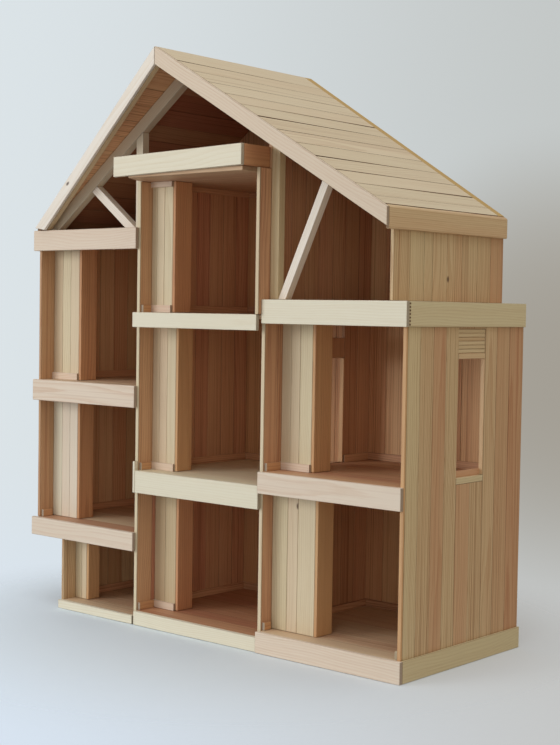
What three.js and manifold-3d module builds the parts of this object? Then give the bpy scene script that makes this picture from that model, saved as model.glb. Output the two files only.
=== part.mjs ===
// A split-level wooden dollhouse: three open-front bays under one gable roof,
// whose front edge leans out to a point.
// Millimetres, +Z up. X runs to the right, Y runs from the open front to the back.
import * as THREE from "three";
import { mergeVertices } from "three/addons/utils/BufferGeometryUtils.js";
import Module from "manifold-3d";

const wasm = await Module();
wasm.setup();

// ---- Driving sizes ------------------------------------------------------------------------------

const bay = { left: 213.1, middle: 236.3, right: 228.2 }; // wall centre to wall centre
const lowerLeftInset = 56.4; // the bottom left room stops this far short of the rooms above it
const upperRightInset = 34.6; // the attic's right wall stands this far inside the wall below it

const depth = 274; // front plane of the right facings to the back edges of the outer walls
const roomDepth = 236; // the same plane to the back panels
const facingFront = { left: 2, middle: 2, right: 0 }; // how far back each bay's facings start
const bayWindowReach = 6; // the middle bay's top floor comes this far in front of the plane

const wallThickness = 5.4;
const deckThickness = 6;
const facingThickness = 6;
const panelThickness = 5;
const rightBand = 3.5; // boards on the outside of the right wall
const leftBand = 6.3; // board on the outside of the left wall, under the roof's foot
const gap = 0.3; // clearance between pieces that touch

// Top of each floor, lowest first, and the height of the facing board that hides its edge.
const floorTop = {
  left: [12.7, 131.1, 339.8, 563.4],
  middle: [20, 220, 444],
  right: [28.1, 238.8, 463.6],
};
const facingHeight = {
  left: [12.7, 27.1, 31.4, 30.3],
  middle: [20, 31.6, 21.1],
  right: [28.1, 28.7, 31.4],
};
const ceilingTop = 634; // board over the middle bay's top room

const canopy = { reach: 39.6, height: 27.8, thickness: 6, lip: 3 }; // box over the middle bay's top room

// reach: how far the peak leans out past the front plane
const ridge = { fromLeftPartition: 89.5, height: 798, reach: 53 };
const eave = { height: 577.4, board: 6, boardHeight: 26.9 }; // right eave
const leftFootLip = 1.4; // thickness of the left roof's foot at its tip
const roofThickness = 7;
// cover: the part of its thickness in front of the roof boards' ends
const bargeboard = { thickness: 14, cover: 5, height: 24 };
const truss = { front: 17, thickness: 12, rafterHeight: 17.5, postWidth: 13.5 };
// width: along the floor; lean: sideways travel per unit of rise
const rightBrace = { width: 12.7, lean: 0.47 };
const leftBrace = { width: 21, lean: -1.32 };

const gableWallFront = 17; // the right partition above the ceiling board starts here
const upperWallFront = 24; // the attic's right wall starts here

// The short return walls, one in each room: where it starts, its width from the partition
// and its length back.
const returnWall = {
  left: [
    { front: 31, width: 29.4, length: 22 },
    { front: 33.5, width: 60, length: 28 },
    { front: 33, width: 61.5, length: 31 },
  ],
  middle: [
    { front: 43.7, width: 47.5, length: 30 },
    { front: 35.7, width: 51, length: 29 },
    { front: 31, width: 46.5, length: 33 },
  ],
  right: [
    { front: 29.1, width: 78, length: 32 },
    { front: 43.6, width: 57, length: 35 },
  ],
};
const returnThickness = 5;

// Cut in the right partition: the doorway on the right bay's middle floor, and a small opening over it.
const doorway = { front: 110, back: 177, height: 146 };
const transom = { front: 118, back: 176, rise: 174, height: 18 };
const windowCut = { front: 119, back: 181, bottom: 233, top: 430 }; // cut in the right wall
const lintel = { bottom: 392, height: 7 };

const hangingRail = { bottom: 505, height: 35 };

// ---- Places worked out from them ----------------------------------------------------------------

const half = wallThickness / 2;
const slab = (centre) => ({ left: centre - half, centre, right: centre + half });

const leftWall = slab(0);
const lowerLeftWall = slab(lowerLeftInset);
const leftPartition = slab(bay.left);
const rightPartition = slab(bay.left + bay.middle);
const rightWall = slab(bay.left + bay.middle + bay.right);
const upperRightWall = slab(rightWall.centre - upperRightInset);

const deckFront = {
  left: facingFront.left + facingThickness + gap,
  middle: facingFront.middle + facingThickness + gap,
  right: facingFront.right + facingThickness + gap,
};
const roomBack = roomDepth - gap;
const leftEnd = leftWall.left - gap - leftBand;
const rightEnd = rightWall.right + gap + rightBand;
const deckBottom = (top) => top - deckThickness;

const [, leftJetty, leftUpperFloor, leftAtticFloor] = floorTop.left;
const [, , middleTopFloor] = floorTop.middle;
const [, rightMiddleFloor, rightAtticFloor] = floorTop.right;
const ceilingBottom = deckBottom(ceilingTop);

// The roof's upper surface is two planes that meet over the ridge.
const ridgeX = leftPartition.centre + ridge.fromLeftPartition;
const eaveOuter = upperRightWall.right + gap + eave.board;
const eaveInner = eaveOuter - eave.board;
const leftFootHeight = leftAtticFloor + gap + leftFootLip;
const slope = {
  left: (ridge.height - leftFootHeight) / (ridgeX - leftEnd),
  right: (ridge.height - eave.height) / (eaveOuter - ridgeX),
};
const roofSurface = (side) => (x) => ridge.height - slope[side] * Math.abs(x - ridgeX);
// The upright height of a thickness measured square to the slope.
const upright = (side, thickness) => thickness * Math.hypot(1, slope[side]);
const roofUnderside = (side) => (x) => roofSurface(side)(x) - upright(side, roofThickness) - gap;
const rafterUnderside = (side) => (x) =>
  roofUnderside(side)(x) - upright(side, truss.rafterHeight) - gap;

const trussBack = truss.front + truss.thickness;

// The gable's front runs straight from each eave to the peak, seen from above.
const gableFront = (side) => {
  const endX = side === "left" ? leftEnd : eaveOuter;
  const endY = facingFront[side];
  const run = (ridgeX - endX) / (endY + ridge.reach);
  return (x) => endY - (x - endX) / run;
};

// ---- Shapes -------------------------------------------------------------------------------------

const pieces = new THREE.Group();

function wood(color, roughness = 0.62) {
  return new THREE.MeshStandardMaterial({ color, roughness, metalness: 0 });
}

function add(name, geometry, color) {
  const mesh = new THREE.Mesh(geometry, wood(color));
  mesh.name = name;
  pieces.add(mesh);
  return mesh;
}

function outline(points, holes = []) {
  const shape = new THREE.Shape(points.map(([u, v]) => new THREE.Vector2(u, v)));
  for (const hole of holes) {
    shape.holes.push(new THREE.Path(hole.map(([u, v]) => new THREE.Vector2(u, v))));
  }
  return shape;
}

const rectangle = (u0, u1, v0, v1) => [[u0, v0], [u1, v0], [u1, v1], [u0, v1]];

const extruded = (shape, thickness) =>
  new THREE.ExtrudeGeometry(shape, { depth: thickness, bevelEnabled: false });

// A straight board between two corners.
function board(name, [x0, x1], [y0, y1], [z0, z1], color) {
  const mesh = add(name, new THREE.BoxGeometry(x1 - x0, y1 - y0, z1 - z0), color);
  mesh.position.set((x0 + x1) / 2, (y0 + y1) / 2, (z0 + z1) / 2);
  return mesh;
}

// A wall seen from the side: an outline in Y and Z, as thick as a wall.
function sideWall(name, wall, points, color, holes) {
  const geometry = extruded(outline(points, holes), wallThickness);
  const alongY = new THREE.Vector3(0, 1, 0);
  const alongZ = new THREE.Vector3(0, 0, 1);
  const alongX = new THREE.Vector3(1, 0, 0);
  geometry.applyMatrix4(new THREE.Matrix4().makeBasis(alongY, alongZ, alongX));
  const mesh = add(name, geometry, color);
  mesh.position.x = wall.left;
  return mesh;
}

// An outline in X and Z carried from a back to a front, each a number or a function of x.
function carried(points, front, back) {
  const at = (limit, x) => (typeof limit === "function" ? limit(x) : limit);
  const geometry = extruded(outline(points), 1);
  const place = geometry.getAttribute("position");
  for (let i = 0; i < place.count; i++) {
    const [x, z, share] = [place.getX(i), place.getY(i), place.getZ(i)];
    place.setXYZ(i, x, at(back, x) + share * (at(front, x) - at(back, x)), z);
  }
  geometry.computeVertexNormals();
  return geometry;
}

// A flat deck: an outline in X and Y.
function deck(name, points, top, color) {
  const mesh = add(name, extruded(outline(points), deckThickness), color);
  mesh.position.z = deckBottom(top);
  return mesh;
}

function toSolid(geometry) {
  const bare = geometry.clone();
  bare.deleteAttribute("normal");
  bare.deleteAttribute("uv");
  const merged = mergeVertices(bare, 1e-4);
  const vertProperties = new Float32Array(merged.getAttribute("position").array);
  const triVerts = new Uint32Array(merged.index.array);
  return new wasm.Manifold(new wasm.Mesh({ numProp: 3, vertProperties, triVerts }));
}

function joined(...geometries) {
  const whole = geometries.map(toSolid).reduce((solid, next) => solid.add(next));
  const { vertProperties, triVerts } = whole.getMesh();
  const geometry = new THREE.BufferGeometry();
  geometry.setAttribute("position", new THREE.BufferAttribute(vertProperties, 3));
  geometry.setIndex(new THREE.BufferAttribute(triVerts, 1));
  geometry.computeVertexNormals();
  return geometry;
}

// ---- Colours ------------------------------------------------------------------------------------

const pale = 0xe3d6b8;
const cream = 0xd9c8a2;
const honey = 0xb98f5d;
const tan = 0xa5794c;
const roofGrey = 0xbdae8b;

// ---- Floors and their facings -------------------------------------------------------------------

const storeyName = ["ground", "first", "second", "attic"];

function leftFloors() {
  const [y0, right] = [deckFront.left, leftPartition.left - gap];
  const [ground, , second] = floorTop.left;
  deck("left_ground_floor", rectangle(lowerLeftWall.right + gap, right, y0, roomBack), ground, tan);
  deck("left_second_floor", rectangle(leftWall.right + gap, right, y0, roomBack), second, tan);
  // These two also close the top or the bottom of an outer wall, so that part runs to the very back.
  const closing = [
    { name: "left_first_floor", top: leftJetty, tab: lowerLeftWall.right },
    { name: "left_attic_floor", top: leftAtticFloor, tab: leftWall.right },
  ];
  for (const { name, top, tab } of closing) {
    const corners = [
      [leftWall.left, y0], [right, y0], [right, roomBack],
      [tab, roomBack], [tab, depth], [leftWall.left, depth],
    ];
    deck(name, corners, top, tan);
  }
}

function middleFloors() {
  const [left, right] = [leftPartition.right + gap, rightPartition.left - gap];
  const [ground, first] = floorTop.middle;
  deck("middle_ground_floor", rectangle(left, right, deckFront.middle, roomBack), ground, tan);
  deck("middle_first_floor", rectangle(left, right, deckFront.middle, roomBack), first, tan);
  const front = facingThickness - bayWindowReach + gap;
  deck("middle_second_floor", rectangle(left, rightPartition.right, front, roomBack), middleTopFloor, tan);
  const lip = canopy.lip - canopy.reach;
  deck("middle_ceiling", rectangle(leftPartition.left, right, lip, roomBack), ceilingTop, cream);
}

function rightFloors() {
  const left = rightPartition.right + gap;
  const [ground, first] = floorTop.right;
  for (const [name, top] of [["right_ground_floor", ground], ["right_first_floor", first]]) {
    deck(name, rectangle(left, rightWall.left - gap, deckFront.right, roomBack), top, tan);
  }
  const tab = upperRightWall.left;
  const ledge = [
    [left, deckFront.right], [rightWall.right, deckFront.right], [rightWall.right, depth], [tab, depth],
    [tab, roomBack], [left, roomBack],
  ];
  deck("right_attic_floor", ledge, rightAtticFloor, tan);
}

function facing(name, [x0, x1], front, top, height, color) {
  board(name, [x0, x1], [front, front + facingThickness], [top - height, top], color);
}

function facings() {
  floorTop.left.forEach((top, level) => {
    const start = level === 0 ? lowerLeftWall.left : leftEnd;
    const name = `left_${storeyName[level]}_facing`;
    facing(name, [start, leftPartition.centre], facingFront.left, top, facingHeight.left[level], pale);
  });
  floorTop.middle.forEach((top, level) => {
    const front = level === 2 ? -bayWindowReach : facingFront.middle;
    const ends = [leftPartition.right + gap, rightPartition.centre - gap / 2];
    facing(`middle_${storeyName[level]}_facing`, ends, front, top, facingHeight.middle[level], cream);
  });
  floorTop.right.forEach((top, level) => {
    const start = level === 2 ? rightPartition.right + gap : rightPartition.centre + gap / 2;
    const end = level === 1 ? rightWall.right : rightEnd;
    const name = `right_${level === 2 ? "attic" : storeyName[level]}_facing`;
    facing(name, [start, end], facingFront.right, top, facingHeight.right[level], pale);
  });
}

// Boards that carry the facings round the sides of the house.
function sideBands() {
  const right = [rightWall.right + gap, rightEnd];
  const run = [facingFront.right + facingThickness + gap, depth];
  board("right_ground_side_band", right, run, [0, facingHeight.right[0]], cream);
  const atticBand = [rightAtticFloor - facingHeight.right[2], rightAtticFloor];
  board("right_attic_side_band", right, run, atticBand, cream);
  const left = [leftEnd, leftWall.left - gap];
  const foot = leftAtticFloor - facingHeight.left[3];
  board("left_eave_board", left, [deckFront.left, depth], [foot, leftAtticFloor], cream);
}

// ---- Walls --------------------------------------------------------------------------------------

function outerWalls() {
  const underJetty = deckBottom(leftJetty) - gap;
  sideWall("left_lower_wall", lowerLeftWall, rectangle(deckFront.left, depth, 0, underJetty), honey);
  const underAttic = deckBottom(leftAtticFloor) - gap;
  const leftFace = rectangle(deckFront.left, depth, leftJetty + gap, underAttic);
  sideWall("left_upper_wall", leftWall, leftFace, honey);

  const { front, back, bottom, top } = windowCut;
  const wallTop = deckBottom(rightAtticFloor) - gap;
  const face = rectangle(deckFront.right, depth, 0, wallTop);
  sideWall("right_lower_wall", rightWall, face, honey, [rectangle(front, back, bottom, top)]);
  const underRoof = roofUnderside("right")(upperRightWall.right);
  const upperFace = rectangle(upperWallFront, depth, rightAtticFloor + gap, underRoof);
  sideWall("right_upper_wall", upperRightWall, upperFace, honey);
}

function windowPieces() {
  const { front, back, top } = windowCut;
  const [x, y] = [[rightWall.left, rightWall.right], [front + gap, back - gap]];
  board("window_lintel", x, y, [lintel.bottom, lintel.bottom + lintel.height], pale);
  board("window_head_panel", x, y, [lintel.bottom + lintel.height + gap, top - gap], honey);
}

function partitions() {
  const front = deckFront.middle;
  sideWall("left_partition", leftPartition, rectangle(front, roomBack, 0, ceilingBottom - gap), honey);

  const doorFoot = rightMiddleFloor + gap;
  const transomFoot = rightMiddleFloor + transom.rise;
  const openings = [
    rectangle(doorway.front, doorway.back, doorFoot, rightMiddleFloor + doorway.height),
    rectangle(transom.front, transom.back, transomFoot, transomFoot + transom.height),
  ];
  const lowerTop = deckBottom(middleTopFloor) - gap;
  const lowerFace = rectangle(front, roomBack, 0, lowerTop);
  sideWall("right_lower_partition", rightPartition, lowerFace, honey, openings);

  const foot = middleTopFloor + gap;
  const underRoof = roofUnderside("right")(rightPartition.right);
  const underRafter = rafterUnderside("right")(rightPartition.right);
  const behindTruss = trussBack + gap;
  const stepped = [
    [-bayWindowReach, foot], [roomBack, foot], [roomBack, underRoof], [behindTruss, underRoof],
    [behindTruss, underRafter], [gableWallFront, underRafter], [gableWallFront, ceilingTop],
    [-bayWindowReach, ceilingTop],
  ];
  sideWall("right_upper_partition", rightPartition, stepped, honey);
}

// The back panels fill each bay up to the roof.
function backPanels() {
  const [front, back] = [roomDepth, roomDepth + panelThickness];
  const under = { left: roofUnderside("left"), right: roofUnderside("right") };
  const panel = (name, points) => add(name, carried(points, front, back), tan);

  const leftSeam = leftPartition.centre - gap / 2;
  const [innerLeft, innerLower] = [leftWall.right + gap, lowerLeftWall.right + gap];
  const atticFoot = Math.max(under.left(innerLeft), leftJetty + gap);
  panel("left_back_panel", [
    [innerLower, 0], [leftSeam, 0], [leftSeam, under.left(leftSeam)], [innerLeft, atticFoot],
    [innerLeft, leftJetty + gap], [innerLower, leftJetty + gap],
  ]);

  const [middleLeft, middleRight] = [leftPartition.centre + gap / 2, rightPartition.centre - gap / 2];
  const peak = Math.min(under.left(ridgeX), under.right(ridgeX));
  panel("middle_back_panel", [
    [middleLeft, 0], [middleRight, 0], [middleRight, under.right(middleRight)], [ridgeX, peak],
    [middleLeft, under.left(middleLeft)],
  ]);

  const rightSeam = rightPartition.centre + gap / 2;
  const [innerRight, innerUpper] = [rightWall.left - gap, upperRightWall.left - gap];
  const underLedge = deckBottom(rightAtticFloor) - gap;
  panel("right_back_panel", [
    [rightSeam, 0], [innerRight, 0], [innerRight, underLedge], [innerUpper, underLedge],
    [innerUpper, under.right(innerUpper)], [rightSeam, under.right(rightSeam)],
  ]);
}

// A return wall stands on a room's floor against its left wall, faces the front and turns the corner
// to the back.
function returnWalls() {
  const rooms = [
    ["left", lowerLeftWall, 0], ["left", leftWall, 1], ["left", leftWall, 2],
    ["middle", leftPartition, 0], ["middle", leftPartition, 1], ["middle", leftPartition, 2],
    ["right", rightPartition, 0], ["right", rightPartition, 1],
  ];
  for (const [side, wall, level] of rooms) {
    const { front, width, length } = returnWall[side][level];
    const [x0, x1] = [wall.right + gap, wall.right + gap + width];
    const [y0, y1] = [front, front + length];
    const corner = [
      [x0, y0], [x1, y0], [x1, y1], [x1 - returnThickness, y1],
      [x1 - returnThickness, y0 + returnThickness], [x0, y0 + returnThickness],
    ];
    const foot = floorTop[side][level] + gap;
    const above = floorTop[side][level + 1];
    const head = (above === undefined ? ceilingBottom : deckBottom(above)) - gap;
    const name = `${side}_${storeyName[level]}_return_wall`;
    add(name, extruded(outline(corner), head - foot), cream).position.z = foot;
  }
}

// ---- Canopy over the middle bay -----------------------------------------------------------------

function canopyBox() {
  const [x0, x1] = [leftPartition.left, rightPartition.centre];
  const [front, inner] = [-canopy.reach, canopy.thickness - canopy.reach];
  const z = [ceilingTop + gap, ceilingTop + gap + canopy.height];
  const back = gableWallFront - gap;
  board("canopy_front", [x0, x1], [front, inner], z, pale);
  board("canopy_left_side", [x0, x0 + canopy.thickness], [inner + gap, back], z, honey);
  board("canopy_right_side", [x1 - canopy.thickness, x1], [inner + gap, back], z, honey);
}

// ---- Roof ---------------------------------------------------------------------------------------

const outward = { left: -1, right: 1 };
const atPeak = (side) => ridgeX + (outward[side] * gap) / 2;

// Corners of a band that follows one slope from the peak down to x = end, or to a level foot
// where it meets one.
function slopeBand(side, upper, lower, end, foot) {
  const start = atPeak(side);
  const points = [[start, lower(start)], [start, upper(start)]];
  if (foot === undefined) return [...points, [end, upper(end)], [end, lower(end)]];
  const crossing = (line) => ridgeX + outward[side] * ((line(ridgeX) - foot) / slope[side]);
  const tip = crossing(upper);
  if (outward[side] * tip > outward[side] * end) points.push([end, upper(end)], [end, foot]);
  else points.push([tip, foot]);
  return [...points, [crossing(lower), foot]];
}

function counterClockwise(points) {
  const area = THREE.ShapeUtils.area(points.map(([x, y]) => ({ x, y })));
  return area < 0 ? points.reverse() : points;
}

const roofEnd = { left: leftEnd, right: eaveInner - gap };
const roofFoot = { left: leftAtticFloor + gap, right: undefined };

function roofDecks() {
  for (const side of ["left", "right"]) {
    const underside = (x) => roofUnderside(side)(x) + gap;
    const profile = slopeBand(side, roofSurface(side), underside, roofEnd[side], roofFoot[side]);
    const front = (x) => gableFront(side)(x) + bargeboard.cover + gap;
    add(`${side}_roof_boards`, carried(counterClockwise(profile), front, depth), roofGrey);
  }
}

// A bargeboard covers the ends of the roof boards, and the rest of its thickness carries them from below.
function bargeboards() {
  for (const side of ["left", "right"]) {
    const front = gableFront(side);
    const behind = (distance) => (x) => front(x) + distance;
    const lower = (x) => roofSurface(side)(x) - bargeboard.height;
    const cover = slopeBand(side, roofSurface(side), lower, roofEnd[side], roofFoot[side]);
    const bearer = slopeBand(side, roofUnderside(side), lower, roofEnd[side], roofFoot[side]);
    const geometry = joined(
      carried(counterClockwise(cover), front, behind(bargeboard.cover)),
      carried(counterClockwise(bearer), behind(bargeboard.cover / 2), behind(bargeboard.thickness)),
    );
    add(`${side}_bargeboard`, geometry, pale);
  }
}

function eaveBoard() {
  const foot = eave.height - eave.boardHeight;
  const surface = roofSurface("right");
  const profile = [
    [eaveInner, foot], [eaveOuter, foot],
    [eaveOuter, surface(eaveOuter)], [eaveInner, surface(eaveInner)],
  ];
  add("right_eave_board", carried(profile, facingFront.right, depth), cream);
}

// ---- Truss under the roof -----------------------------------------------------------------------

const addToTruss = (name, points, color) =>
  add(name, carried(counterClockwise(points), truss.front, trussBack), color);

function rafters() {
  const end = { left: leftEnd, right: upperRightWall.left - gap };
  for (const side of ["left", "right"]) {
    const lower = (x) => rafterUnderside(side)(x) + gap;
    const profile = slopeBand(side, roofUnderside(side), lower, end[side], roofFoot[side]);
    addToTruss(`${side}_rafter`, profile, cream);
  }
}

// Each post stands beside a partition, and its brace leans from its foot out to the rafter.
function postsAndBraces() {
  const stands = [
    { side: "left", inner: leftPartition.left - gap, floor: leftAtticFloor, brace: leftBrace },
    { side: "right", inner: rightPartition.right + gap, floor: rightAtticFloor, brace: rightBrace },
  ];
  for (const { side, inner, floor, brace } of stands) {
    const under = rafterUnderside(side);
    const foot = floor + gap;
    const outer = inner + outward[side] * truss.postWidth;
    const post = [[inner, foot], [outer, foot], [outer, under(outer)], [inner, under(inner)]];
    addToTruss(`${side}_post`, post, cream);

    const near = outer + outward[side] * gap;
    const far = near + outward[side] * brace.width;
    const head = (x) => {
      const rise = (under(x) - foot) / (1 + slope[side] * Math.abs(brace.lean));
      return [x + brace.lean * rise, foot + rise];
    };
    addToTruss(`${side}_brace`, [[near, foot], [far, foot], head(far), head(near)], pale);
  }
}

// ---- Rail that the house hangs by ---------------------------------------------------------------

function rail() {
  const x = [leftWall.right + gap, upperRightWall.left - gap];
  const y = [roomDepth + panelThickness + gap, depth];
  board("hanging_rail", x, y, [hangingRail.bottom, hangingRail.bottom + hangingRail.height], cream);
}

// ---- The house ----------------------------------------------------------------------------------

leftFloors();
middleFloors();
rightFloors();
facings();
sideBands();
outerWalls();
windowPieces();
partitions();
backPanels();
returnWalls();
canopyBox();
roofDecks();
bargeboards();
eaveBoard();
rafters();
postsAndBraces();
rail();

// The origin is on the ground, under the middle of the whole house.
const box = new THREE.Box3().setFromObject(pieces);
pieces.position.set(-(box.min.x + box.max.x) / 2, -(box.min.y + box.max.y) / 2, -box.min.z);

const dollhouse = new THREE.Group();
dollhouse.add(pieces);

export default dollhouse;
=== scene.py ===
# %% [markdown]
# # A split-level wooden dollhouse
# The house is made of thin pine strips, about 30 mm wide, glued side by side into walls, floors
# and a roof, with wider boards glued over the front edges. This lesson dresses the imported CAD
# frame: it keeps every size and puts real boards, with their own grain, joints and worn edges,
# where the CAD has plain slabs.

# %% Load the frame and keep its size
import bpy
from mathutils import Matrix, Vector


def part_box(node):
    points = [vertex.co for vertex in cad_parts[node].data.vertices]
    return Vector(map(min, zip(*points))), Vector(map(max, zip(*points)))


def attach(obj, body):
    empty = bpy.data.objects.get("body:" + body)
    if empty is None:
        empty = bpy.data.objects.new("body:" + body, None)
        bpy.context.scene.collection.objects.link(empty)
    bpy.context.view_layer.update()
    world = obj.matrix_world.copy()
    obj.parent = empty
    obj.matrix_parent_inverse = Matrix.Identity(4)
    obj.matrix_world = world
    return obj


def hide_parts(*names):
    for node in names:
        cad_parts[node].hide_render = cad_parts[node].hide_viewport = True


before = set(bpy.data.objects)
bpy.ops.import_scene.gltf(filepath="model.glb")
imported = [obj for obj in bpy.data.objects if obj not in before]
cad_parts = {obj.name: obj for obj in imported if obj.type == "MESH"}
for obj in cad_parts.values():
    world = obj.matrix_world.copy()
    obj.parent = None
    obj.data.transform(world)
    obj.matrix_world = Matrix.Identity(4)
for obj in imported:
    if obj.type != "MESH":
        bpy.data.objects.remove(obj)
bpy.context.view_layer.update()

import zlib
from types import SimpleNamespace

import bpy
import numpy as np
from mathutils import Matrix, Vector

MM = 0.001
GAP = 0.3 * MM  # what the CAD leaves between two of its solids

# %% [markdown]
# ## Where the eye is
# A camera can be placed by its angles or by a point it looks at. Here the angles are used, because
# the house is seen from its right, a little above its middle, with a slight roll.

# %% Camera
EYE = np.array([1334.8, -1488.7, 450.6]) * MM
YAW, PITCH, ROLL = np.radians([40.71, -2.54, -0.91])

camera_data = bpy.data.cameras.new("camera")
camera_data.sensor_fit, camera_data.sensor_width = "HORIZONTAL", 36
camera_data.lens = 91.07
camera = bpy.data.objects.new("camera", camera_data)
camera.matrix_world = (
    Matrix.Translation(EYE)
    @ Matrix.Rotation(YAW, 4, "Z")
    @ Matrix.Rotation(PITCH, 4, "X")
    @ Matrix.Rotation(ROLL, 4, "Y")
    @ Matrix.Rotation(np.pi / 2, 4, "X")
)
bpy.context.scene.collection.objects.link(camera)
bpy.context.scene.camera = camera
print("camera stands", round(float(np.hypot(*EYE[:2])), 2), "m from the middle of the house")

# %% [markdown]
# ## One board
# A board could be a cube with a Bevel modifier. Working it out in numpy is better here: hundreds of
# boards come from one array, sloping ends cost nothing, and each board carries its own grain
# coordinates, so that its lines run along it and its end shows end grain.
#
# A board is eight corners: [start, end] along it, [one edge, other edge] across it and
# [one face, other face] through it. A rounded rectangle is carried from one end to the other.

# %% The rounded section of a board
ALONG, ACROSS, THROUGH = 0, 1, 2
ARC = np.radians([0.0, 45.0, 90.0])


def section_points():
    """Corner number, inward direction and angle of the points round a rounded rectangle.

    Each corner k of the rectangle has an arc from 180 + 90 k to 270 + 90 k degrees, so a point is
    corner + radius * (inward + (cos angle, sin angle)).
    """
    corner = np.array([[0, 0], [1, 0], [1, 1], [0, 1]])
    angle = np.pi + np.arange(4)[:, None] * np.pi / 2 + ARC[None, :]
    turn = np.stack([np.cos(angle), np.sin(angle)], axis=-1)
    inward = np.repeat(1 - 2 * corner[:, None, :], len(ARC), axis=1)
    base = np.repeat(corner[:, None, :], len(ARC), axis=1)
    crest = np.tile(np.sin(2 * ARC), 4)
    return base.reshape(-1, 2), inward.reshape(-1, 2), turn.reshape(-1, 2), crest


SECTION = section_points()
print("a board's section has", len(SECTION[0]), "points")

# %% [markdown]
# The arrays below hold all boards of a piece at once. A point at (s, w, t), three shares between
# 0 and 1, is the straight-line blend of the eight corners. The radius swells and shrinks a little
# along the board, as a hand-sanded edge does, and the last ring at each end draws in to round it.

# %% All boards of a piece at once
def unit(v):
    """A direction made one long."""
    return v / np.maximum(np.linalg.norm(v, axis=-1, keepdims=True), 1e-12)


def blend_corners(corners, share):
    """Straight-line blend of eight corners: sum over corners of the product of (share or 1 - share)."""
    out = 0.0
    for a in (0, 1):
        for c in (0, 1):
            for t in (0, 1):
                weight = 1.0
                for axis, side in ((ALONG, a), (ACROSS, c), (THROUGH, t)):
                    weight = weight * (share[axis] if side else 1 - share[axis])
                out = out + weight[..., None] * corners[:, a, c, t][:, None, None, :]
    return out


def right_handed(corners):
    """Turns a board over where along x across points against through, so its faces point outwards."""
    along = corners[:, 1, 0, 0] - corners[:, 0, 0, 0]
    across = corners[:, 0, 1, 0] - corners[:, 0, 0, 0]
    through = corners[:, 0, 0, 1] - corners[:, 0, 0, 0]
    inside_out = (np.cross(along, across) * through).sum(-1) < 0
    return np.where(inside_out[:, None, None, None, None], corners[:, :, ::-1], corners)


ROUNDEST = 0.3  # the largest rounding, as a share of the board's thinnest side
END_FULLNESS = 0.35  # how far the rounding draws in at a board's two ends


def spans(corners):
    """The mean vectors along, across and through each board."""
    return ((corners[:, 1] - corners[:, 0]).mean((1, 2)),
            (corners[:, :, 1] - corners[:, :, 0]).mean((1, 2)),
            (corners[:, :, :, 1] - corners[:, :, :, 0]).mean((1, 2)))


def board_normals(corners, shape):
    """Round the section a normal is cos angle * side + sin angle * face, and on an end it points out."""
    turn = SECTION[2]
    run, wide, deep = (unit(span) for span in spans(corners))
    side = unit(np.cross(deep, run))
    face = unit(np.cross(run, wide))
    normals = unit(
        turn[None, None, :, :1] * side[:, None, None, :] + turn[None, None, :, 1:] * face[:, None, None, :]
    ) * np.ones(shape)
    for ring, end, sign in ((0, 0, -1), (-1, 1, 1)):
        edge = corners[:, end, 1].mean(1) - corners[:, end, 0].mean(1)
        rise = corners[:, end, :, 1].mean(1) - corners[:, end, :, 0].mean(1)
        normals[:, ring] = (sign * unit(np.cross(edge, rise)))[:, None, :]
    return normals


def board_surface(corners, radius, rings, rng):
    """Points, normals, size-true coordinates and joint marks of every board, ring by ring.

    A point of the section is corner + radius * (inward + fullness * (cos angle, sin angle)). With s
    metres along the board, fullness = 0.9 + 0.06 sin(40 s + a) + 0.04 sin(97 s + b), and each board
    has an a and a b of its own.
    """
    base, inward, turn, crest = SECTION
    count = len(corners)
    size = np.maximum(np.linalg.norm(np.stack(spans(corners), axis=1), axis=-1), 1e-6)
    r = np.minimum(radius, ROUNDEST * size.min(-1))[:, None]
    inner = r + (size[:, :1] - 2 * r) * np.linspace(0, 1, rings)[None, :]
    reach = np.concatenate([np.zeros((count, 1)), inner, size[:, :1]], axis=1)
    wave = rng.uniform(0, 6.28, (count, 2))
    fullness = 0.9 + 0.06 * np.sin(reach * 40 + wave[:, :1]) + 0.04 * np.sin(reach * 97 + wave[:, 1:])
    fullness[:, 0] = fullness[:, -1] = END_FULLNESS
    off = inward + fullness[:, :, None, None] * turn
    across = base[:, 0] + off[..., 0] * (r / size[:, 1:2])[:, :, None]
    through = base[:, 1] + off[..., 1] * (r / size[:, 2:3])[:, :, None]
    along = np.broadcast_to((reach / size[:, :1])[:, :, None], across.shape)
    points = blend_corners(corners, (along, across, through))
    true = np.stack([along, across, through], axis=-1) * size[:, None, None, :]
    joint = np.broadcast_to(crest[None, None, :], along.shape).copy()
    joint[:, 0] = joint[:, -1] = 1.0  # end grain is darker
    return points, board_normals(corners, points.shape), true, joint


def board_faces(count, rings):
    """Quads between neighbouring rings, and one many-sided face on each end."""
    per = len(SECTION[0])
    total = rings + 2
    first = np.arange(count)[:, None, None] * per * total
    ring = np.arange(total - 1)[None, :, None] * per
    j, k = np.arange(per)[None, None, :], (np.arange(per) + 1)[None, None, :] % per
    quads = np.stack([first + ring + j, first + ring + k, first + ring + per + k, first + ring + per + j],
                     axis=-1).reshape(-1, 4)
    start = (first[:, 0] + np.arange(per)[None, ::-1])
    stop = (first[:, 0] + per * (total - 1) + np.arange(per)[None, :])
    return quads, np.concatenate([start, stop])


print("a board of 6 rings has", sum(len(faces) for faces in board_faces(1, 6)), "faces")

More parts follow.
